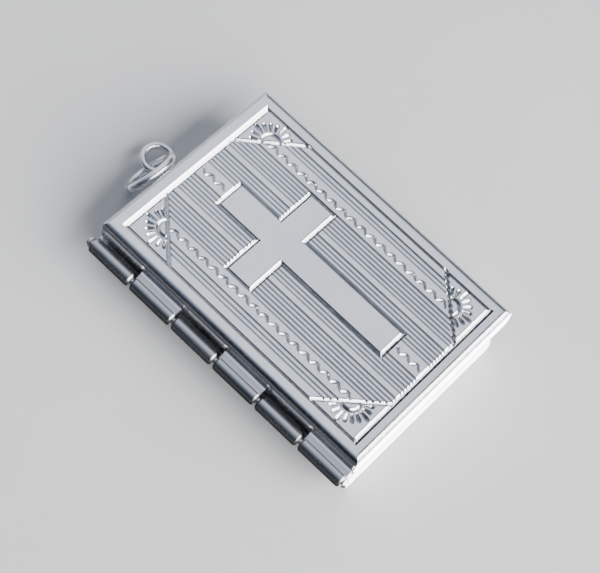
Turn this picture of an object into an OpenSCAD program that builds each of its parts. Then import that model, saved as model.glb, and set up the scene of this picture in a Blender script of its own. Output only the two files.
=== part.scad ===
// Book locket: a silver pendant in the form of a closed book, lying on its back.
// X runs from the spine (-X) to the fore-edge (+X), Y from the foot to the bail, Z up.
// The origin is on the flat underside of the back, below the middle of the front cover.

/* [Front cover] */
// Width of the front cover, from spine to fore-edge
cover_w = 24.4; // [22:0.1:27]
// Height of the front cover, from foot to bail end
cover_h = 35.4; // [35:0.1:37]
// Height of the cover's face above the table, which is the closed thickness
locket_t = 6.4; // [6.2:0.1:7]
// Depth of the cover's rim, from its face to its lip
cover_depth = 2.3; // [2:0.05:2.5]
// Radius of the cover's long edges
long_edge_r = 0.9; // [0.5:0.05:1]
// Radius of the cover's short edges
short_edge_r = 0.9; // [0.5:0.05:1]
// Radius of the upright corners
corner_r = 0.45; // [0.3:0.05:0.6]
// Thickness of the walls
sheet_t = 0.5; // [0.4:0.05:0.6]
// Thickness of the plate that carries the relief
plate_t = 0.8; // [0.7:0.05:1]

/* [Back case] */
// How far the cover overhangs the back case at the fore-edge
fore_overhang = 2; // [1:0.1:2.4]
// How far the rim bead stands back from the cover at the foot and the bail end
rim_inset = 0.1; // [0.05:0.05:0.3]
// Height of the rounded lower shell
shell_h = 2.2; // [1.8:0.1:2.4]
// Radius of the lower shell's bottom edges
shell_edge_r = 1; // [0.6:0.1:1.2]
// How far the lower shell stands out from the rim bead
shell_out = 0.3; // [0.1:0.05:0.35]
// Radius of the lower shell's upper edges
shell_top_r = 0.5; // [0.4:0.05:0.7]
// Height of the rim bead under the cover's lip
bead_h = 1; // [0.7:0.05:1.1]
// Height of the spine wall
spine_wall_h = 3.3; // [2.6:0.1:3.4]
// Height of the inner flange that the cover closes over
flange_h = 0.8; // [0.5:0.1:1.2]
// Clearance between the cover and the back case
close_gap = 0.1; // [0.06:0.01:0.15]

/* [Relief] */
// Width of the bordered panel, between the middles of its channels
panel_w = 21.14; // [20:0.1:21.4]
// Height of the bordered panel, between the middles of its channels
panel_h = 31.7; // [31:0.1:32.2]
// Width of the channels round the panel and the cross
channel_w = 0.62; // [0.5:0.02:0.7]
// Depth of the channels
channel_d = 0.3; // [0.2:0.02:0.34]
// Height of the cross
cross_h = 22.9; // [21.9:0.1:24.9]
// Width of the cross
cross_w = 12.75; // [12.65:0.05:12.9]
// Width of the cross's bars
bar_w = 3.45; // [3.2:0.05:3.6]
// Height of the cross's arms above the panel's middle
arm_y = 4.1; // [3:0.05:5.5]
// Width of a fine groove
groove_w = 0.24; // [0.16:0.02:0.28]
// Depth of a fine groove
groove_d = 0.16; // [0.1:0.02:0.2]
// Length of one zigzag of the wriggled lines
wave_step = 1.4; // [1.3:0.01:1.6]
// Radius of the half discs on the corner bars
disc_r = 0.98; // [0.9:0.02:1.1]
// Number of petals round each half disc
petal_n = 9; // [7:2:9]

/* [Hinge] */
// Number of knuckles along the spine
knuckle_n = 6; // [4:2:8]
// Outer radius of a knuckle
knuckle_r = 0.85; // [0.75:0.05:0.85]
// Bevel round the ends of a knuckle
knuckle_bevel = 0.2; // [0.1:0.05:0.25]
// Radius of the knuckles' bore
knuckle_bore_r = 0.4; // [0.4:0.01:0.43]
// Radius of the hinge pin
pin_r = 0.35; // [0.33:0.01:0.35]
// Gap between two knuckles
knuckle_gap = 0.3; // [0.2:0.02:0.4]
// Height of the hinge axis above the table
hinge_z = 3.4; // [3.3:0.05:3.5]
// Distance of the hinge axis behind the spine wall
hinge_out = 1; // [1:0.01:1.05]

/* [Loop and jump ring] */
// Place of the soldered loop across the bail end
loop_x = -0.4; // [-2:0.1:2]
// Radius of the loop, at the middle of its wire
loop_r = 1.6; // [1.55:0.05:1.7]
// Thickness of the loop's wire
loop_wire = 0.8; // [0.7:0.05:0.85]
// Length of the loop's foot between the case and the wire
loop_foot = 1.1; // [1.05:0.05:1.2]
// Height of the loop above the table
loop_z = 1.8; // [1.7:0.05:1.9]
// Radius of the jump ring, at the middle of its wire
ring_r = 2.8; // [2.75:0.05:2.85]
// Thickness of the jump ring's wire
ring_wire = 0.95; // [0.85:0.05:1]
// How far the jump ring leans towards the locket, in degrees
ring_lean = 28; // [27:1:29]
// How far the leaning jump ring stays off the cover's edge
ring_gap = 0.15; // [0.1:0.01:0.2]
// Angle that the cut in the jump ring opens, in degrees
ring_cut = 4; // [2:1:8]

/* [Hidden] */
$fn = 48;
eps = 0.01;
lift = 0.05;

// Front cover
cx = cover_w / 2;
cy = cover_h / 2;
lip_z = locket_t - cover_depth;

// Back case
rim_x1 = cx - fore_overhang;
rim_y = cy - rim_inset;
rim_top = lip_z - close_gap;
band_inset = 0.08;
wall_inset = 0.15;
bead_low_r = 0.3;
bead_top_r = 0.2;
flange_t = 0.35;
flange_back = 0.6;
case_x1 = rim_x1 - wall_inset - sheet_t;
flange_x1 = case_x1 + flange_t;
flange_y = cy - sheet_t - close_gap;
case_y = flange_y - flange_t;
lip_x = flange_x1 + close_gap;

// Hinge
hinge_x = -cx - hinge_out;
hinge_len = cover_h - 0.2;
knuckle_pitch = hinge_len / knuckle_n;
// Where the straps leave a barrel, their thickness, and how deep they sink into their wall
strap_far = 0.72;
strap_near = 0.1;
strap_t = 0.35;
strap_sink = 0.05;
// The pin's rounded ends outside the last knuckles
pin_out = 0.05;
head_r = 0.6;
head_top_r = 0.35;
head_t = 0.4;

// Loop and jump ring
loop_y = rim_y + loop_foot + loop_wire / 2 + loop_r;
ring_z = ring_r * cos(ring_lean) + ring_wire / 2;
ring_y = cy + ring_gap + ring_wire / 2 + ring_r * sin(ring_lean);
ring_shift = 0.4;
ring_x = loop_x + ring_shift - ring_r;
loop_neck_r = 0.45;

// Relief
px = panel_w / 2;
py = panel_h / 2;
arm_top = arm_y + bar_w / 2;
arm_low = arm_y - bar_w / 2;
corner_x = 5.85;
corner_y = 6.2;
diagonal_w = 0.5;
diagonal_d = 0.26;
// Each group of grooves: first offset from the middle, pitch, number of grooves
STEM_GROUP = [1.08, 0.464, 6];
INNER_GROUP = [4.19, 0.464, 6];
OUTER_GROUP = [8.49, 0.485, 3];
wave_x = 7.41;
wave_amp = 0.32;
wave_w = 0.3;
wave_d = 0.16;
wave_end = 0.5;
// Petals: their angle apart, where they start and end, their point, their width and depth
petal_turn = 19.5;
petal_start = 1.3;
petal_end = 2.3;
long_petal_end = 2.7;
petal_tip = 0.35;
petal_w = 0.38;
petal_d = 0.18;

// Box with its upright corners and its lower or upper edges rounded by true arcs
module rounded_profile(a0, a1, z0, z1, r_low0, r_low1, r_top0, r_top1) {
    difference() {
        translate([a0, z0]) square([a1 - a0, z1 - z0]);
        corner_cut(a0, z0, 1, 1, r_low0);
        corner_cut(a1, z0, -1, 1, r_low1);
        corner_cut(a0, z1, 1, -1, r_top0);
        corner_cut(a1, z1, -1, -1, r_top1);
    }
}

// What rounding takes off one corner of a profile
module corner_cut(a, z, sa, sz, r) {
    if (r > 0)
        translate([a, z]) scale([sa, sz])
            difference() {
                translate([-1, -1]) square([1 + r, 1 + r]);
                translate([r, r]) circle(r);
            }
}

// A body with rounded edges: where its end profile, its side profile and its plan meet
module rounded_body(x0, x1, y, z0, z1, low_x = [0, 0], low_y = 0,
                    top_x = [0, 0], top_y = 0, plan_r = [0, 0]) {
    intersection() {
        translate([0, y + 1, 0]) rotate([90, 0, 0])
            linear_extrude(2 * y + 2)
                rounded_profile(x0, x1, z0, z1, low_x[0], low_x[1], top_x[0], top_x[1]);
        translate([x0 - 1, 0, 0]) rotate([90, 0, 90])
            linear_extrude(x1 - x0 + 2)
                rounded_profile(-y, y, z0, z1, low_y, low_y, top_y, top_y);
        translate([0, 0, z0 - 1])
            linear_extrude(z1 - z0 + 2)
                rounded_profile(x0, x1, -y, y, plan_r[0], plan_r[1], plan_r[0], plan_r[1]);
    }
}

// Unit vector, and the sideways step of a path at one of its points
function unit(v) = v / norm(v);
function left(v) = [-v[1], v[0]];
function leg(path, i, closed) =
    let (n = len(path))
    closed ? unit(path[(i + 1) % n] - path[i])
           : unit(path[min(i + 1, n - 1)] - path[min(i, n - 2)]);
function side_step(path, i, closed) =
    let (n = len(path),
         after = leg(path, i, closed),
         before = closed ? leg(path, (i + n - 1) % n, closed) : leg(path, max(i - 1, 0), closed),
         m = unit(left(before) + left(after)))
    m / (m * left(after));

// A tool that cuts a channel of one section along a path on the cover's face.
// The section is a list of [sideways, depth] points; widths scales it at each path point.
module channel(path, section, closed = false, widths = []) {
    n = len(path);
    m = len(section);
    points = [for (i = [0:n - 1])
        let (s = side_step(path, i, closed), k = len(widths) > 0 ? widths[i] : 1)
        for (p = section) [path[i][0] + s[0] * p[0] * k, path[i][1] + s[1] * p[0] * k,
                           locket_t - (p[1] > 0 ? p[1] * k : p[1])]];
    walls = [for (i = [0:closed ? n - 1 : n - 2], j = [0:m - 1])
        let (a = i * m, b = ((i + 1) % n) * m, q = (j + 1) % m)
        [a + j, b + j, b + q, a + q]];
    ends = closed ? [] : [[for (j = [0:m - 1]) j], [for (j = [m - 1:-1:0]) (n - 1) * m + j]];
    polyhedron(points, concat(walls, ends), convexity = 8);
}

function v_section(w, d) = [[-w / 2 * (1 + lift / d), -lift], [0, d], [w / 2 * (1 + lift / d), -lift]];
function u_section(w, d) = [[-w / 2, -lift], [-w / 2, 0], [-w / 7, d], [w / 7, d], [w / 2, 0], [w / 2, -lift]];

// Where a line at this offset meets the border or a corner bar
function line_end(x) = x < px - corner_x ? py : py - corner_y * (x - px + corner_x) / corner_x;

// Fine grooves of one group, broken by the cross
module groove_group(group) {
    for (i = [0:group[2] - 1], side = [-1, 1]) {
        x = group[0] + i * group[1];
        far = line_end(x);
        ends = x < bar_w / 2 ? [[cross_h / 2, far], [-far, -cross_h / 2]]
             : x < cross_w / 2 ? [[arm_top, far], [-far, arm_low]]
             : [[-far, far]];
        for (e = ends)
            channel([[side * x, e[0]], [side * x, e[1]]], v_section(groove_w, groove_d));
    }
}

// A wriggled line from one height to another
module wave(x, y0, y1) {
    n = round((y1 - y0) / (wave_step / 2));
    step = (y1 - y0) / n;
    path = [for (i = [0:n]) [x + wave_amp * (i % 2 == 0 ? -1 : 1), y0 + i * step]];
    channel(path, v_section(wave_w, wave_d));
}

// A half disc and its petals on one corner bar
module corner_flower() {
    out = atan2(corner_x, corner_y);
    translate([px - corner_x / 2, py - corner_y / 2, locket_t]) rotate([0, 0, out - 90])
        rotate_extrude(angle = 180)
            polygon([for (p = u_section(diagonal_w, diagonal_d)) [disc_r + p[0], -p[1]]]);
    for (i = [0:petal_n - 1]) {
        place = i - (petal_n - 1) / 2;
        reach = abs(place) == 2 ? long_petal_end : petal_end;
        d = [cos(out + place * petal_turn), sin(out + place * petal_turn)];
        middle = [px - corner_x / 2, py - corner_y / 2];
        channel([middle + petal_start * d, middle + (reach - petal_tip) * d, middle + reach * d],
                v_section(petal_w, petal_d), widths = [0.45, 1, 0.2]);
    }
}

// The whole pattern of the cover's face, as cutting tools
module relief() {
    border = [[-px, -py], [px, -py], [px, py], [-px, py]];
    b = bar_w / 2;
    w = cross_w / 2;
    h = cross_h / 2;
    outline = [[-b, -h], [b, -h], [b, arm_low], [w, arm_low], [w, arm_top], [b, arm_top],
               [b, h], [-b, h], [-b, arm_top], [-w, arm_top], [-w, arm_low], [-b, arm_low]];
    channel(border, u_section(channel_w, channel_d), closed = true);
    channel(outline, u_section(channel_w, channel_d), closed = true);
    for (sx = [-1, 1], sy = [-1, 1])
        channel([[sx * (px - corner_x), sy * py], [sx * px, sy * (py - corner_y)]],
                u_section(diagonal_w, diagonal_d));
    groove_group(STEM_GROUP);
    groove_group(INNER_GROUP);
    groove_group(OUTER_GROUP);
    long_wave = floor(line_end(wave_x + wave_amp) / wave_step) * wave_step;
    for (side = [-1, 1])
        wave(side * wave_x, -long_wave, long_wave);
    wave(0, h + wave_end, py - wave_end);
    wave(0, -py + wave_end, -h - wave_end);
    for (mx = [0, 1], my = [0, 1])
        mirror([mx, 0, 0]) mirror([0, my, 0]) corner_flower();
}

// Knuckles of one leaf, each with the strap that joins it to its wall
module knuckles(first, strap) {
    for (i = [first:2:knuckle_n - 1]) {
        y1 = hinge_len / 2 - i * knuckle_pitch - knuckle_gap / 2;
        long = knuckle_pitch - knuckle_gap;
        end_r = knuckle_r - knuckle_bevel;
        translate([hinge_x, y1, hinge_z]) rotate([90, 0, 0]) {
            rotate_extrude()
                polygon([[0, 0], [end_r, 0], [knuckle_r, knuckle_bevel],
                         [knuckle_r, long - knuckle_bevel], [end_r, long], [0, long]]);
            linear_extrude(long) polygon(strap);
        }
    }
}

module hinge_bore() {
    translate([hinge_x, cy + 1, hinge_z]) rotate([90, 0, 0])
        cylinder(r = knuckle_bore_r, h = cover_h + 2);
}

module front_cover() {
    // The strap, measured from the hinge axis: it slopes from the lip down to the barrel
    lip = lip_z - hinge_z;
    inside = hinge_out + sheet_t - strap_sink;
    strap = [[strap_near, strap_far], [hinge_out + strap_sink, lip + strap_t],
             [inside, lip + strap_near], [inside, lip], [strap_far, strap_near]];
    color("silver") difference() {
        union() {
            rounded_body(-cx, cx, cy, lip_z, locket_t,
                         top_x = [long_edge_r, long_edge_r], top_y = short_edge_r,
                         plan_r = [corner_r, corner_r]);
            knuckles(1, strap);
        }
        // The hollow over the case, and the one inside the folded lip at the fore-edge
        translate([-cx + sheet_t, -cy + sheet_t, lip_z - 1])
            cube([cx - sheet_t + lip_x, cover_h - 2 * sheet_t, 1 + cover_depth - plate_t]);
        translate([lip_x - 1, -cy + sheet_t, lip_z + sheet_t])
            cube([cx - sheet_t - lip_x + 1, cover_h - 2 * sheet_t, cover_depth - plate_t - sheet_t]);
        hinge_bore();
        relief();
    }
}

module back_case() {
    // The strap, measured from the hinge axis: it slopes from the spine wall up to the barrel
    wall = spine_wall_h - hinge_z;
    inside = hinge_out + sheet_t - strap_sink;
    strap = [[strap_near, -strap_far], [hinge_out + strap_sink, wall - strap_near - strap_t],
             [inside, wall - strap_t + strap_sink], [inside, wall - strap_sink],
             [strap_far, -strap_near]];
    shell_x1 = rim_x1 + shell_out;
    shell_y = rim_y + shell_out;
    band_x1 = rim_x1 - band_inset;
    band_y = rim_y - band_inset;
    flange_x0 = -cx + sheet_t + flange_back;
    color("gainsboro") difference() {
        union() {
            rounded_body(-cx, shell_x1, shell_y, 0, shell_h,
                         low_x = [shell_edge_r, shell_edge_r], low_y = shell_edge_r,
                         top_x = [0, shell_top_r], top_y = shell_top_r,
                         plan_r = [corner_r, 2 * corner_r]);
            rounded_body(-cx, band_x1, band_y, shell_h - shell_top_r, rim_top - bead_h + eps,
                         plan_r = [corner_r, corner_r]);
            rounded_body(-cx, rim_x1, rim_y, rim_top - bead_h, rim_top,
                         low_x = [0, bead_low_r], low_y = bead_low_r,
                         top_x = [0, bead_top_r], top_y = bead_top_r,
                         plan_r = [corner_r, corner_r]);
            translate([flange_x0, -flange_y, shell_h])
                cube([flange_x1 - flange_x0, 2 * flange_y, rim_top + flange_h - shell_h]);
            knuckles(0, strap);
            translate([loop_x, loop_y, loop_z])
                rotate_extrude() translate([loop_r, 0]) circle(loop_wire / 2);
            translate([loop_x, rim_y - sheet_t, loop_z]) rotate([-90, 0, 0])
                cylinder(r = loop_neck_r, h = sheet_t + loop_foot + loop_wire / 2);
        }
        rounded_body(-cx + sheet_t, shell_x1 - sheet_t, shell_y - sheet_t, sheet_t, shell_h - sheet_t,
                     low_x = [shell_edge_r - sheet_t, shell_edge_r - sheet_t],
                     low_y = shell_edge_r - sheet_t);
        rounded_body(-cx + sheet_t, case_x1, case_y, shell_h - sheet_t - eps, locket_t);
        // The spine wall and the case behind the flange end lower, clear of the swinging cover
        translate([-cx - 0.1, -cy, spine_wall_h])
            cube([sheet_t + 0.1 + eps, cover_h, locket_t]);
        hinge_bore();
    }
}

module hinge_pin() {
    end_y = hinge_len / 2;
    color("gray") {
        translate([hinge_x, end_y + 2 * pin_out, hinge_z]) rotate([90, 0, 0])
            cylinder(r = pin_r, h = hinge_len + 4 * pin_out);
        for (side = [-1, 1])
            translate([hinge_x, side * (end_y + pin_out), hinge_z]) rotate([-90 * side, 0, 0])
                cylinder(r1 = head_r, r2 = head_top_r, h = head_t);
    }
}

module jump_ring() {
    color("silver")
        translate([ring_x, ring_y, ring_z]) rotate([90 + ring_lean, 0, 0])
            rotate([0, 0, 180 + ring_cut / 2])
                rotate_extrude(angle = 360 - ring_cut)
                    translate([ring_r, 0]) circle(ring_wire / 2);
}

front_cover();
back_case();
hinge_pin();
jump_ring();
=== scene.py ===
"""Book locket in silver: the looks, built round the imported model.

Sizes are in millimetres, apart from the studio's, which are in metres where their comments say so.
"""
import math

import bmesh
import bpy
import numpy as np
from mathutils import Matrix, Vector


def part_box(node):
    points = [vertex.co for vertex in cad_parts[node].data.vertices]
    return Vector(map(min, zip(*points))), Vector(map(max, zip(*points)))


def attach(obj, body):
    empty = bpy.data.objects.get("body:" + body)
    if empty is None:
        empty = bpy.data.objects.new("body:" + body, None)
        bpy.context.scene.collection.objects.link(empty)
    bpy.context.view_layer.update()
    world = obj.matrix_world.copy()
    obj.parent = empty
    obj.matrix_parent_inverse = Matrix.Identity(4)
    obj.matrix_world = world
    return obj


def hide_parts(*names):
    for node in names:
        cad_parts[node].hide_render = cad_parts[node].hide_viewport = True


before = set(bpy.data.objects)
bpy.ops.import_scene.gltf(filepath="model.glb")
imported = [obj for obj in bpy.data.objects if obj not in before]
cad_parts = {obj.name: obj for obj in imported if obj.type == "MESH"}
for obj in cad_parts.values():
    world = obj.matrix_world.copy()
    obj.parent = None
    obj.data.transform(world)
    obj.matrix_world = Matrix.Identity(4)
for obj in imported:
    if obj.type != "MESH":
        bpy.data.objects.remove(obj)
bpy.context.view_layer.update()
MM = 0.001

# The cover's face. Its panel, cross, corner bars and grooves have the places that they have in the solid
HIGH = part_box("front_cover")[1] / MM
FACE_Z = HIGH.z
PANEL_X = 21.14 / 2
PANEL_Y = 31.7 / 2
CROSS_H = 22.9
CROSS_W = 12.75
BAR_W = 3.45
ARM_Y = 4.1
CORNER_X = 5.85
CORNER_Y = 6.2

# Each channel and groove has a broad wall and a steep one. These run across the locket, at the short sides
CHANNEL_W = 0.62
CHANNEL_D = 0.3
STEEP = 0.16
# How much wider the border's short sides are, on their inner edge
INWARD = 0.08
# These run along the locket, and the fore-edge side of the border lies a little further in
LONG_BROAD = 0.27
LONG_STEEP = 0.1
LONG_D = 0.25
FORE_INWARD = 0.19

# Groups of fine grooves: first offset from the middle, pitch, number of grooves
OUTER_START = 8.49
GROOVE_GROUPS = [(1.08, 0.464, 6), (4.19, 0.464, 6), (OUTER_START, 0.485, 3)]
GROOVE_BROAD = 0.18
GROOVE_STEEP = 0.05
GROOVE_D = 0.165
RUN_OUT = 0.2
REED_D = 0.04

# The corner bars: on two corners one cut, on the other two a rounded trough. FLAT is the share of a
# trough's width that its floor takes, and HOLLOW the share of its depth by which the floor is rounded
DIAGONAL_W = 0.5
DIAGONAL_D = 0.27
DIAGONAL_FLAT = 0.2
BAR_BROAD = 0.38
BAR_STEEP = 0.1
BAR_PAST_END = 0.02
HOLLOW = 0.14
ROPE = 0.24
ROPE_PITCH = 0.464

# The wriggled lines. SOFT is the share of a stroke's length over which it runs out
WAVE_X = 7.41
WAVE_STEP = 1.4
WAVE_AMP = 0.32
WAVE_BROAD = 0.32
WAVE_STEEP = 0.06
WAVE_BROAD_SOFT = 0.45
WAVE_THIN = 0.13
WAVE_THIN_SOFT = 0.3
WAVE_D = 0.21
WAVE_END = 0.5

# The corner flowers. PETAL_WIDEST and PETAL_RISE are shares of a petal's length, PETAL_ROOT of its width
DISC_R = 0.98
DISC_W = 0.5
DISC_D = DIAGONAL_D * 0.8
DISC_FLAT = 0.1
PETALS = 9
LONG_PETALS = 2
PETAL_TURN = math.radians(19.5)
PETAL_START = 1.25
PETAL_END = 2.4
LONG_PETAL_END = 2.7
PETAL_WIDEST = 0.72
PETAL_ROOT = 0.5
PETAL_RISE = 0.12
PETAL_BROAD = 0.38
PETAL_STEEP = 0.12
PETAL_D = 0.22
# The least share of its width that a petal or stroke keeps where it runs out
THINNEST = 0.01

# How finely the face is meshed, how close two fixed grid lines may be, and how far a step may be overrun
FINE_X = 0.08
FINE_Y = 0.12
CORNER_FINE = 0.09
CLOSEST = 0.03
OVERRUN = 0.2
PATCH_X = PANEL_X + CHANNEL_W / 2
PATCH_Y = PANEL_Y + CHANNEL_W / 2
# How far beyond the patch and below the channels a face of the solid still counts as its relief
PATCH_SLACK = 0.002
RELIEF_SLACK = 0.02
# Vertices closer than this become one
WELD = 0.0002
# Edges sharper than this, in degrees, stay sharp in the shading
SHARP = 38
# A face that leans less than this, as a part of its normal, counts as not leaning
UPRIGHT = 0.02

# Each silver: its bright tone, its dull tone, its least and its most roughness
COVER_LOOK = ((0.86, 0.86, 0.88), (0.78, 0.79, 0.82), 0.17, 0.25)
CASE_LOOK = ((0.80, 0.80, 0.82), (0.68, 0.69, 0.72), 0.2, 0.3)
PIN_LOOK = ((0.74, 0.73, 0.72), (0.55, 0.54, 0.53), 0.25, 0.4)
RING_LOOK = ((0.90, 0.90, 0.91), (0.80, 0.81, 0.83), 0.2, 0.3)
# Noise: scale per metre, detail, roughness. The clouds are 4 mm across and the fine dents 0.4 mm
CLOUDS = (260.0, 5.0, 0.6)
FINE_DENTS = (2600.0, 3.0, 0.5)
# Hairline scratches in two directions: the noise's stretch per metre, its turn in radians, its lowest level
HAIRS = [((260, 5200, 2600), 0.35, 0.62), ((4800, 300, 2600), -0.2, 0.64)]
HAIR_NOISE = (1.0, 3.0, 0.6)
HAIR_SPAN = 0.1
HAIR_ROUGHNESS = 0.06
# Where in the clouds the tone is dull and where it is bright, and the levels between which noise is used
DULL_AT = 0.35
BRIGHT_AT = 0.62
NOISE_LOW = 0.3
NOISE_HIGH = 0.7
# The bump: its depth, its strength and what each noise adds to it
DENT_D = 0.02
BUMP_STRENGTH = 0.5
CLOUD_BUMP = 0.5
HAIR_BUMP = -0.12
FINE_BUMP = 0.12
# Painted shade in the relief: how far below the face it begins and is full, how far below the channels it
# ends, its tone, and the least of it where the fine noise thins it
RELIEF_SHADE_FROM = 0.03
RELIEF_SHADE_FULL = 0.18
RELIEF_SHADE_BELOW = 0.06
RELIEF_SHADE_TONE = (0.11, 0.11, 0.13)
RELIEF_SHADE_LEAST = 0.6
# The painted shade thins towards the loop's end: where it starts to thin out, where it is thinnest, what is
# left
RELIEF_SHADE_FOOT = -6.0
RELIEF_SHADE_TOP = 12.0
RELIEF_SHADE_LEFT = 0.45
# The knuckles get painted shade, darker than the rest: where it begins and is full behind the spine wall,
# and its tone
HINGE_SHADE_FROM = -HIGH.x - 0.1
HINGE_SHADE_FULL = -HIGH.x - 0.3
HINGE_SHADE_TONE = (0.46, 0.46, 0.47)

# The photograph's camera: the image and the focal length in pixels, and the clipping distances in metres
IMAGE_W = 600
FOCAL_PX = 1774.1
CAMERA_AT = Vector((-80.16, -33.37, 163.47))
CAMERA_RIGHT = Vector((0.66974, -0.719869, 0.18231))
CAMERA_UP = Vector((0.600758, 0.669546, 0.436805))
SENSOR_W = 36.0
CLIP_START = 0.005
CLIP_END = 10

# The floor's side in metres, and the two tones of each matt paint
FLOOR_SIZE = 8.0
FLOOR_TONES = ((0.50, 0.50, 0.50), (0.53, 0.53, 0.53))
BLACK_TONES = ((0.012, 0.013, 0.016), (0.02, 0.021, 0.025))
WHITE_TONES = ((0.9, 0.9, 0.9), (0.95, 0.95, 0.95))
PAINT_NOISE = 40.0
PAINT_ROUGHNESS = 0.9

# Where the black card begins beside the spine and the white one at the foot, how far they reach, their
# height and how much the white one glows
CARD_X = 12.6
CARD_Y = 18.2
CARD_SIDE = 60
CARD_FAR = 500
CARD_Z = 0.05
CARD_GLOW = 12

# The soft box at the foot: its direction in degrees, its distance and its size in metres, and its radiance
BOX_AZIMUTH = -88
BOX_ELEVATION = 31.5
BOX_DISTANCE = 0.6
BOX_W = 0.94
BOX_H = 0.6
BOX_RADIANCE = 12

# The panel overhead that the silver mirrors. Each fade has an axis of the direction, the value there at
# which the panel is out, and the one at which it is full
PANEL_FADES = [("X", -1.0, 0.15), ("X", 1.0, 0.6), ("Y", -0.14, 0.02), ("Y", 1.4, 0.7)]
# Its colours, from the dark room through its blue edge to its middle
ROOM_LIGHT = [(0.0, (0.04, 0.045, 0.055)), (0.45, (0.30, 0.38, 0.52)), (1.0, (1.2, 1.26, 1.4))]


def smooth(t):
    """0 to 1 with soft ends."""
    t = np.clip(t, 0, 1)
    return t * t * (3 - 2 * t)


def trough(distance, width, depth, flat):
    """Depth of a trough with even walls and a rounded floor."""
    u = np.clip(2 * distance / width, 0, 1)
    wall = smooth((1 - u) / (1 - flat))
    return depth * wall * (1 - HOLLOW + HOLLOW * (1 - np.minimum(u / flat, 1) ** 2))


def cut(side, broad, steep, depth):
    """Depth of a graver's cut: a broad wall rises one way, a steep one the other. side is the distance from
    the cut's middle, positive towards its steep wall."""
    s = side - (broad - steep) / 2
    slope = np.where(s < 0, 1 + s / broad, 1 - s / steep)
    return depth * np.clip(slope, 0, 1)


def side_of(x, y, a, b):
    """Distance from the line a-b, positive towards the foot, and the place along it, 0 at a and 1 at b."""
    along = (b[0] - a[0], b[1] - a[1])
    length = math.hypot(*along)
    normal = (-along[1] / length, along[0] / length)
    if normal[1] > 0:
        normal = (-normal[0], -normal[1])
    side = (x - a[0]) * normal[0] + (y - a[1]) * normal[1]
    t = ((x - a[0]) * along[0] + (y - a[1]) * along[1]) / (length * length)
    return side, t


def stroke(x, y, a, b, broad, steep, depth, soft):
    """A straight cut from a to b that runs out over this share of its length at each end."""
    side, t = side_of(x, y, a, b)
    full = np.clip(np.minimum(t, 1 - t) / soft, 0, 1)
    swell = np.sqrt(np.clip(full * (2 - full), 0, 1))
    wide = np.maximum(swell, THINNEST)
    return np.where(swell > 0, cut(side, broad * wide, steep * wide, depth * swell), 0)


def line_end(x):
    """Where a line at this offset meets the border or a corner bar."""
    if x < PANEL_X - CORNER_X:
        return PANEL_Y
    return PANEL_Y - CORNER_Y * (x - PANEL_X + CORNER_X) / CORNER_X


def groove_runs(x):
    """The stretches of a groove at this offset, broken by the cross."""
    far = line_end(x)
    if x < BAR_W / 2:
        return [(CROSS_H / 2, far), (-far, -CROSS_H / 2)]
    if x < CROSS_W / 2:
        return [(ARM_Y + BAR_W / 2, far), (-far, ARM_Y - BAR_W / 2)]
    return [(-far, far)]


def wave_points(x, y0, y1):
    """The turning points of a wriggled line."""
    n = round((y1 - y0) / (WAVE_STEP / 2))
    step = (y1 - y0) / n
    return [(x + WAVE_AMP * (-1 if i % 2 == 0 else 1), y0 + i * step) for i in range(n + 1)]


def wave_lines():
    """The wriggled lines: one on each side of the cross, one above it and one below."""
    far = math.floor(line_end(WAVE_X + WAVE_AMP) / WAVE_STEP) * WAVE_STEP
    near, end = CROSS_H / 2 + WAVE_END, PANEL_Y - WAVE_END
    return [wave_points(-WAVE_X, -far, far), wave_points(WAVE_X, -far, far),
            wave_points(0, near, end), wave_points(0, -end, -near)]


def border_depth(x, y):
    """The border: its broad walls face the spine along the long sides and the foot along the short ones."""
    reach = CHANNEL_W + INWARD
    middle = np.sign(y) * (PANEL_Y - INWARD / 2)
    long_x = np.where(x > 0, PANEL_X - FORE_INWARD, -PANEL_X)
    long_side = cut(long_x - x, LONG_BROAD, LONG_STEEP, LONG_D)
    short_side = cut(middle - y, reach - STEEP, STEEP, CHANNEL_D)
    return np.where(np.abs(x) - PANEL_X > np.abs(y) - PANEL_Y, long_side, short_side)


def cross_depth(x, y):
    """The channel round the cross, mitred at its corners."""
    stem = (np.abs(x) - BAR_W / 2, np.abs(y) - CROSS_H / 2, np.where(y > 0, 1, -1))
    arms = (np.abs(x) - CROSS_W / 2, np.abs(y - ARM_Y) - BAR_W / 2, np.where(y > ARM_Y, 1, -1))
    use_stem = np.maximum(stem[0], stem[1]) < np.maximum(arms[0], arms[1])
    dx, dy, up = [np.where(use_stem, p, q) for p, q in zip(stem, arms)]
    long_side = cut(np.where(x > 0, -dx, dx), LONG_BROAD, LONG_STEEP, LONG_D)
    short_side = cut(-dy * up, CHANNEL_W - STEEP, STEEP, CHANNEL_D)
    return np.where(dx > dy, long_side, short_side)


def bar_depth(x, y, sx, sy):
    """The bar across one corner of the panel. The one at the fore-edge and foot is like a rope."""
    a = (sx * (PANEL_X - CORNER_X), sy * PANEL_Y)
    b = (sx * PANEL_X, sy * (PANEL_Y - CORNER_Y))
    side, t = side_of(x, y, a, b)
    on = (t > -BAR_PAST_END) & (t < 1 + BAR_PAST_END)
    if sx * sy > 0:
        return np.where(on, cut(side, BAR_BROAD, BAR_STEEP, DIAGONAL_D), 0)
    ripple = np.abs((np.abs(x) - OUTER_START) / ROPE_PITCH % 1 - 1 / 2) - 1 / 4
    rope = side + ROPE * ripple * (sy < 0)
    return np.where(on, trough(np.abs(rope), DIAGONAL_W, DIAGONAL_D, DIAGONAL_FLAT), 0)


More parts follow.
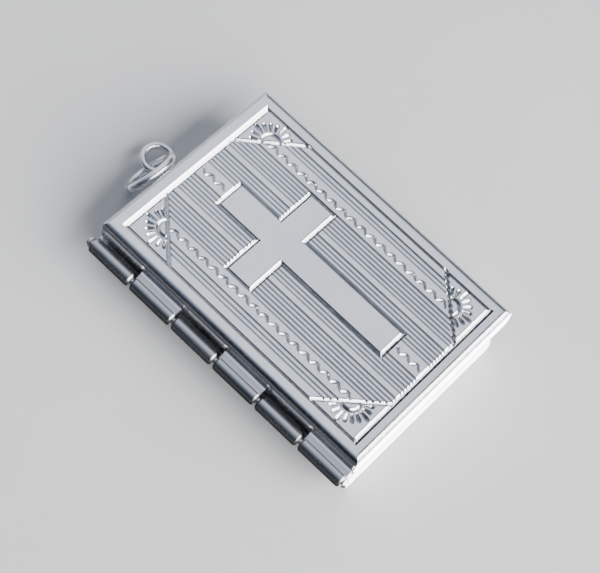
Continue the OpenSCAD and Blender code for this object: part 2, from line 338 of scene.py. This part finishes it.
def petal_depth(x, y, a, b):
    """One petal from a to b, widest near its rounded tip."""
    side, t = side_of(x, y, a, b)
    tip = np.clip((t - PETAL_WIDEST) / (1 - PETAL_WIDEST), 0, 1)
    root = PETAL_ROOT + (1 - PETAL_ROOT) * t / PETAL_WIDEST
    swell = np.where(t < PETAL_WIDEST, root, np.sqrt(1 - tip * tip))
    swell = np.maximum(swell * smooth(t / PETAL_RISE), THINNEST)
    petal = cut(side, PETAL_BROAD * swell, PETAL_STEEP * swell, PETAL_D * swell)
    return np.where((t > 0) & (t < 1), petal, 0)


def flower_depth(x, y, sx, sy):
    """The half disc and petals on one corner bar."""
    mid = (sx * (PANEL_X - CORNER_X / 2), sy * (PANEL_Y - CORNER_Y / 2))
    out = math.atan2(CORNER_X, CORNER_Y)
    facing = (sx * math.cos(out), sy * math.sin(out))
    beyond = (x - mid[0]) * facing[0] + (y - mid[1]) * facing[1]
    ring = np.abs(np.hypot(x - mid[0], y - mid[1]) - DISC_R)
    best = np.where(beyond > 0, trough(ring, DISC_W, DISC_D, DISC_FLAT), 0)
    for i in range(PETALS):
        place = i - (PETALS - 1) / 2
        reach = LONG_PETAL_END if abs(place) == LONG_PETALS else PETAL_END
        turn = out + place * PETAL_TURN
        d = (sx * math.cos(turn), sy * math.sin(turn))
        a = (mid[0] + PETAL_START * d[0], mid[1] + PETAL_START * d[1])
        b = (mid[0] + reach * d[0], mid[1] + reach * d[1])
        best = np.maximum(best, petal_depth(x, y, a, b))
    return best


def groove_depth(x, y):
    """The fine grooves, with the reeds between them gently rounded."""
    best = np.zeros_like(x)
    for sx in (-1, 1):
        for first, pitch, count in GROOVE_GROUPS:
            last = first + (count - 1) * pitch
            for i in range(count):
                gx = first + i * pitch
                side = sx * gx - x
                between = (np.abs(side) < pitch / 2) & (sx * x > first) & (sx * x < last)
                reed = REED_D * (1 - np.clip(np.abs(side) / (pitch / 2), 0, 1) ** 2)
                for y0, y1 in groove_runs(gx):
                    span = smooth((y - y0) / RUN_OUT) * smooth((y1 - y) / RUN_OUT)
                    best = np.maximum(best, cut(side, GROOVE_BROAD, GROOVE_STEEP, GROOVE_D) * span)
                    best = np.maximum(best, np.where(between, reed * span, 0))
    return best


def wave_depth(x, y):
    """The wriggled lines: every other stroke is a broad bright cut, and those between are thin."""
    best = np.zeros_like(x)
    for points in wave_lines():
        for a, b in zip(points, points[1:]):
            broad, steep, soft = WAVE_THIN, WAVE_THIN, WAVE_THIN_SOFT
            if b[0] < a[0]:
                broad, steep, soft = WAVE_BROAD, WAVE_STEEP, WAVE_BROAD_SOFT
            best = np.maximum(best, stroke(x, y, a, b, broad, steep, WAVE_D, soft))
    return best


def face_depth(x, y):
    """How deep the relief lies below the face at each point."""
    inside = (np.abs(x) < PANEL_X) & (np.abs(y) < PANEL_Y)
    field = np.maximum(groove_depth(x, y), wave_depth(x, y))
    for sx in (-1, 1):
        for sy in (-1, 1):
            here = (sx * x > 0) & (sy * y > 0)
            corner = np.maximum(bar_depth(x, y, sx, sy), flower_depth(x, y, sx, sy))
            field = np.maximum(field, np.where(here, corner, 0))
    depth = np.maximum(border_depth(x, y), cross_depth(x, y))
    return np.maximum(depth, np.where(inside, field, 0))


def lines_through(low, high, marks, step):
    """Sorted grid lines from low to high: at each mark, and no further apart than about a step."""
    ordered = sorted({round(value, 4) for value in (low, high, *[m for m in marks if low < m < high])})
    kept = [ordered[0]]
    for value in ordered[1:]:
        if value - kept[-1] > CLOSEST or value == ordered[-1]:
            kept.append(value)
    lines = []
    for a, b in zip(kept, kept[1:]):
        n = max(1, math.ceil((b - a) / step - OVERRUN))
        lines += [a + (b - a) * i / n for i in range(n)]
    return lines + [kept[-1]]


def cut_marks(middles, broad, steep):
    """Where cuts with these middles begin, are deepest and end. Their broad walls face down the axis."""
    half = (broad + steep) / 2
    return [middle + offset for middle in middles for offset in (half, steep - half, -half)]


def panel_grid():
    """The grid lines of the face panel, with one wherever a wall along them begins or ends."""
    bar, arm, end = BAR_W / 2, CROSS_W / 2, CROSS_H / 2
    long_x = [-PANEL_X, PANEL_X - FORE_INWARD, -bar, -arm, bar, arm]
    fine_x = [first + i * pitch for first, pitch, count in GROOVE_GROUPS for i in range(count)]
    marks = cut_marks(long_x, LONG_BROAD, LONG_STEEP)
    marks += cut_marks([-x for x in fine_x] + fine_x, GROOVE_BROAD, GROOVE_STEEP)
    xs = lines_through(-PATCH_X, PATCH_X, marks, FINE_X)
    border = PANEL_Y - INWARD / 2
    marks = cut_marks([-end, ARM_Y - bar, ARM_Y + bar, end], CHANNEL_W - STEEP, STEEP)
    marks += cut_marks([-border, border], CHANNEL_W + INWARD - STEEP, STEEP)
    zone = PANEL_Y - CORNER_Y
    foot = lines_through(-PATCH_Y, -zone, marks, CORNER_FINE)
    middle = lines_through(-zone, zone, marks, FINE_Y)
    top = lines_through(zone, PATCH_Y, marks, CORNER_FINE)
    return np.array(xs), np.array(foot + middle[1:] + top[1:])


def add_panel(bm):
    """Adds the relief face to the mesh as one grid, with its faces tagged."""
    xs, ys = panel_grid()
    gx, gy = np.meshgrid(xs, ys)
    z = FACE_Z - face_depth(gx, gy)
    rows = [[bm.verts.new((gx[j, i] * MM, gy[j, i] * MM, z[j, i] * MM)) for i in range(len(xs))]
            for j in range(len(ys))]
    for lower, upper in zip(rows, rows[1:]):
        for i in range(len(xs) - 1):
            face = bm.faces.new((lower[i], lower[i + 1], upper[i + 1], upper[i]))
            face.tag = True


def lean(face):
    """Which way a face of the plain body leans: not at all, over one pair of sides, or over both."""
    return abs(face.normal.x) > UPRIGHT, abs(face.normal.y) > UPRIGHT


def mark_sharp(bm):
    """Smooth shading, broken at sharp edges and at mitres, so that each rounded edge keeps its own run."""
    for face in bm.faces:
        face.smooth = True
    for edge in bm.edges:
        if len(edge.link_faces) != 2:
            edge.smooth = False
            continue
        one, other = edge.link_faces
        mitre = (not (one.tag and other.tag) and lean(one) != lean(other)
                 and any(lean(one)) and any(lean(other)))
        edge.smooth = not mitre and edge.calc_face_angle(0) < math.radians(SHARP)


def in_relief(face):
    """Whether a face of the solid belongs to its relief, which the fine panel takes over."""
    inside = all(abs(v.co.x / MM) < PATCH_X + PATCH_SLACK and abs(v.co.y / MM) < PATCH_Y + PATCH_SLACK
                 for v in face.verts)
    return inside and face.calc_center_median().z / MM > FACE_Z - CHANNEL_D - RELIEF_SLACK


def build_cover():
    """The front cover: the solid's own body with its face replaced by the finely worked relief."""
    bm = bmesh.new()
    bm.from_mesh(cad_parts["front_cover"].data)
    bmesh.ops.remove_doubles(bm, verts=bm.verts, dist=WELD * MM)
    bmesh.ops.delete(bm, geom=[face for face in bm.faces if in_relief(face)], context="FACES")
    for face in bm.faces:
        face.tag = False
    add_panel(bm)
    bmesh.ops.remove_doubles(bm, verts=bm.verts, dist=WELD * MM)
    mark_sharp(bm)
    mesh = bpy.data.meshes.new("cover")
    bm.to_mesh(mesh)
    bm.free()
    cover = bpy.data.objects.new("cover", mesh)
    bpy.context.collection.objects.link(cover)
    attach(cover, "cover")
    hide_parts("front_cover")
    return cover


class Nodes:
    """Short helper for building a material's node tree."""

    def __init__(self, name):
        self.material = bpy.data.materials.new(name)
        self.material.use_nodes = True
        self.tree = self.material.node_tree
        self.shader = self.tree.nodes["Principled BSDF"]
        self.coords = self.add("ShaderNodeTexCoord").outputs["Object"]

    def add(self, kind, **settings):
        node = self.tree.nodes.new(kind)
        for key, value in settings.items():
            setattr(node, key, value)
        return node

    def link(self, a, b):
        self.tree.links.new(a, b)

    def mapped(self, scale, turn):
        """The object's coordinates, turned about the vertical and stretched."""
        node = self.add("ShaderNodeMapping")
        node.inputs["Scale"].default_value = scale
        node.inputs["Rotation"].default_value = (0, 0, turn)
        self.link(self.coords, node.inputs["Vector"])
        return node.outputs["Vector"]

    def noise(self, vector, scale, detail=4.0, roughness=0.55):
        """Noise from 0 to 1."""
        node = self.add("ShaderNodeTexNoise")
        node.inputs["Scale"].default_value = scale
        node.inputs["Detail"].default_value = detail
        node.inputs["Roughness"].default_value = roughness
        self.link(vector, node.inputs["Vector"])
        return node.outputs["Fac"]

    def ramp(self, value, low, high, start, end):
        """start to end while a value goes from low to high, and level beyond them."""
        node = self.add("ShaderNodeMapRange")
        node.inputs["From Min"].default_value = low
        node.inputs["From Max"].default_value = high
        node.inputs["To Min"].default_value = start
        node.inputs["To Max"].default_value = end
        self.link(value, node.inputs["Value"])
        return node.outputs["Result"]

    def math(self, operation, a, b):
        """A sum, product or the like of two sockets or numbers."""
        node = self.add("ShaderNodeMath", operation=operation)
        for socket, value in zip(node.inputs, (a, b)):
            if isinstance(value, (int, float)):
                socket.default_value = value
            else:
                self.link(value, socket)
        return node.outputs["Value"]

    def mixed(self, factor, a, colour):
        """The socket a where the factor is 0, and the colour where it is 1."""
        node = self.add("ShaderNodeMix", data_type="RGBA")
        self.link(factor, node.inputs["Factor"])
        self.link(a, node.inputs["A"])
        node.inputs["B"].default_value = (*colour, 1)
        return node.outputs["Result"]

    def colours(self, value, stops):
        """Runs through the stops, each a place from 0 to 1 and a colour."""
        node = self.add("ShaderNodeValToRGB")
        ramp = node.color_ramp
        while len(ramp.elements) < len(stops):
            ramp.elements.new(0.5)
        for element, (place, colour) in zip(ramp.elements, stops):
            element.position = place
            element.color = (*colour, 1)
        self.link(value, node.inputs["Fac"])
        return node.outputs["Color"]


def silver(name, bright, dull, rough_low, rough_high, shade_relief=False, shade_hinge=False):
    """Worn polished silver: cloudy tone, hairline scratches in two directions, soft dents, painted shade
    low in the relief and painted shade on the hinge's knuckles."""
    n = Nodes(name)
    n.shader.inputs["Metallic"].default_value = 1.0
    cloud = n.noise(n.coords, *CLOUDS)
    fine = n.noise(n.coords, *FINE_DENTS)
    hair_levels = [n.ramp(n.noise(n.mapped(stretch, turn), *HAIR_NOISE), low, low + HAIR_SPAN, 0, 1)
                   for stretch, turn, low in HAIRS]
    hairs = n.math("MAXIMUM", *hair_levels)
    place = n.add("ShaderNodeSeparateXYZ")
    n.link(n.coords, place.inputs["Vector"])
    tone = n.colours(cloud, [(DULL_AT, dull), (BRIGHT_AT, bright)])
    # Painted shade: the knuckles behind the spine wall are darkened in the base colour, standing in for
    # their dark reflections
    if shade_hinge:
        hinge = n.ramp(place.outputs["X"], HINGE_SHADE_FROM * MM, HINGE_SHADE_FULL * MM, 0, 1)
        tone = n.mixed(hinge, tone, HINGE_SHADE_TONE)
    # Painted shade: the relief's hollows are darkened in the base colour
    if shade_relief:
        tone = n.mixed(relief_shade_amount(n, place, fine), tone, RELIEF_SHADE_TONE)
    n.link(tone, n.shader.inputs["Base Color"])
    rough = n.ramp(cloud, NOISE_LOW, NOISE_HIGH, rough_low, rough_high)
    rough = n.math("ADD", rough, n.math("MULTIPLY", hairs, HAIR_ROUGHNESS))
    n.link(rough, n.shader.inputs["Roughness"])
    height = n.math("ADD", n.math("MULTIPLY", cloud, CLOUD_BUMP), n.math("MULTIPLY", hairs, HAIR_BUMP))
    height = n.math("ADD", height, n.math("MULTIPLY", fine, FINE_BUMP))
    bump = n.add("ShaderNodeBump")
    bump.inputs["Strength"].default_value = BUMP_STRENGTH
    bump.inputs["Distance"].default_value = DENT_D * MM
    n.link(height, bump.inputs["Height"])
    n.link(bump.outputs["Normal"], n.shader.inputs["Normal"])
    return n.material


def relief_shade_amount(n, place, fine):
    """How much painted shade the relief gets: it lies in the relief alone, uneven and thinner at the loop's
    end.
    """
    y, z = place.outputs["Y"], place.outputs["Z"]
    deepest = FACE_Z - CHANNEL_D
    depth = n.ramp(z, (FACE_Z - RELIEF_SHADE_FULL) * MM, (FACE_Z - RELIEF_SHADE_FROM) * MM, 1, 0)
    depth = n.math("MULTIPLY", depth, n.ramp(z, (deepest - RELIEF_SHADE_BELOW) * MM, deepest * MM, 0, 1))
    # The painted shade is lighter towards the loop's end
    depth = n.math("MULTIPLY", depth, n.ramp(y, RELIEF_SHADE_FOOT * MM, RELIEF_SHADE_TOP * MM, 1, RELIEF_SHADE_LEFT))
    return n.math("MULTIPLY", depth, n.ramp(fine, NOISE_LOW, NOISE_HIGH, RELIEF_SHADE_LEAST, 1.0))


def cover_silver():
    """The cover's: the brightest polish, with painted shade in its relief and on its knuckles."""
    return silver("cover_silver", *COVER_LOOK, shade_relief=True, shade_hinge=True)


def case_silver():
    """The case's: a little duller and rougher than the cover's, with painted shade on its knuckles."""
    return silver("case_silver", *CASE_LOOK, shade_hinge=True)


def pin_silver():
    """The pin's: worn grey wire."""
    return silver("pin_silver", *PIN_LOOK)


def ring_silver():
    """The jump ring's: bright round wire."""
    return silver("ring_silver", *RING_LOOK)


def matt_paint(n, tones):
    """A matt paint that is slightly cloudy between two tones. Returns its tone."""
    tone = n.colours(n.noise(n.coords, PAINT_NOISE), [(NOISE_LOW, tones[0]), (NOISE_HIGH, tones[1])])
    n.link(tone, n.shader.inputs["Base Color"])
    n.shader.inputs["Roughness"].default_value = PAINT_ROUGHNESS
    return tone


def paint(obj, material):
    """Gives a piece one material."""
    if obj.data.materials:
        for i in range(len(obj.data.materials)):
            obj.data.materials[i] = material
    else:
        obj.data.materials.append(material)


def add_floor():
    """A plain pale floor without gloss."""
    bpy.ops.mesh.primitive_plane_add(size=FLOOR_SIZE, location=(0, 0, 0))
    floor = bpy.context.object
    floor.name = "floor"
    n = Nodes("floor_paint")
    matt_paint(n, FLOOR_TONES)
    n.shader.inputs["Specular IOR Level"].default_value = 0.0
    floor.data.materials.append(n.material)


def add_card(name, x0, x1, y0, y1, tones, glow=0.0):
    """A card flat on the floor for the silver alone to mirror, as a photographer's flag or reflector: the
    floor stays pale. One that glows stands for a card that the soft box lights."""
    mesh = bpy.data.meshes.new(name)
    mesh.from_pydata([(x * MM, y * MM, CARD_Z * MM) for x, y in ((x0, y0), (x1, y0), (x1, y1), (x0, y1))],
                     [], [(0, 1, 2, 3)])
    card = bpy.data.objects.new(name, mesh)
    bpy.context.collection.objects.link(card)
    n = Nodes(name)
    tone = matt_paint(n, tones)
    if glow:
        n.link(tone, n.shader.inputs["Emission Color"])
        n.shader.inputs["Emission Strength"].default_value = glow
    mesh.materials.append(n.material)
    card.visible_camera = False
    card.visible_diffuse = False
    card.visible_shadow = False


def add_foot_box():
    """A soft box at the foot that faces the locket."""
    data = bpy.data.lights.new("foot_box", "AREA")
    data.shape = "RECTANGLE"
    data.size = BOX_W
    data.size_y = BOX_H
    data.energy = BOX_RADIANCE * math.pi * BOX_W * BOX_H
    light = bpy.data.objects.new("foot_box", data)
    az, el = math.radians(BOX_AZIMUTH), math.radians(BOX_ELEVATION)
    towards = Vector((math.cos(el) * math.cos(az), math.cos(el) * math.sin(az), math.sin(el)))
    light.location = towards * BOX_DISTANCE
    light.rotation_euler = towards.to_track_quat("Z", "Y").to_euler()
    bpy.context.collection.objects.link(light)


def add_world():
    """A dim room with one wide soft panel overhead that fades towards the hinge side and the far side."""
    world = bpy.data.worlds.new("studio")
    bpy.context.scene.world = world
    world.use_nodes = True
    tree = world.node_tree
    background = tree.nodes["Background"]
    where = tree.nodes.new("ShaderNodeTexCoord")
    parts = tree.nodes.new("ShaderNodeSeparateXYZ")
    tree.links.new(where.outputs["Generated"], parts.inputs["Vector"])
    level = None
    for axis, start, end in PANEL_FADES:
        fade = tree.nodes.new("ShaderNodeMapRange")
        fade.interpolation_type = "SMOOTHSTEP"
        fade.inputs["From Min"].default_value = start
        fade.inputs["From Max"].default_value = end
        tree.links.new(parts.outputs[axis], fade.inputs["Value"])
        if level is None:
            level = fade.outputs["Result"]
        else:
            both = tree.nodes.new("ShaderNodeMath")
            both.operation = "MULTIPLY"
            tree.links.new(level, both.inputs[0])
            tree.links.new(fade.outputs["Result"], both.inputs[1])
            level = both.outputs["Value"]
    colours = tree.nodes.new("ShaderNodeValToRGB")
    colours.color_ramp.elements.new(0.5)
    for element, (place, colour) in zip(colours.color_ramp.elements, ROOM_LIGHT):
        element.position = place
        element.color = (*colour, 1)
    tree.links.new(level, colours.inputs["Fac"])
    tree.links.new(colours.outputs["Color"], background.inputs["Color"])


def add_camera():
    """The photograph's camera."""
    data = bpy.data.cameras.new("camera")
    data.sensor_fit = "HORIZONTAL"
    data.sensor_width = SENSOR_W
    data.lens = FOCAL_PX / IMAGE_W * SENSOR_W
    data.clip_start = CLIP_START
    data.clip_end = CLIP_END
    camera = bpy.data.objects.new("camera", data)
    right, up = CAMERA_RIGHT.normalized(), CAMERA_UP.normalized()
    turn = Matrix((right, up, right.cross(up))).transposed().to_4x4()
    camera.matrix_world = Matrix.Translation(CAMERA_AT * MM) @ turn
    bpy.context.collection.objects.link(camera)
    bpy.context.scene.camera = camera


paint(build_cover(), cover_silver())
paint(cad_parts["back_case"], case_silver())
paint(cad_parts["hinge_pin"], pin_silver())
paint(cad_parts["jump_ring"], ring_silver())
add_floor()
add_card("black_card", -CARD_FAR, -CARD_X, -CARD_SIDE, CARD_SIDE, BLACK_TONES)
add_card("white_card", -CARD_X, CARD_SIDE, -CARD_SIDE, -CARD_Y, WHITE_TONES, glow=CARD_GLOW)
add_world()
add_foot_box()
add_camera()
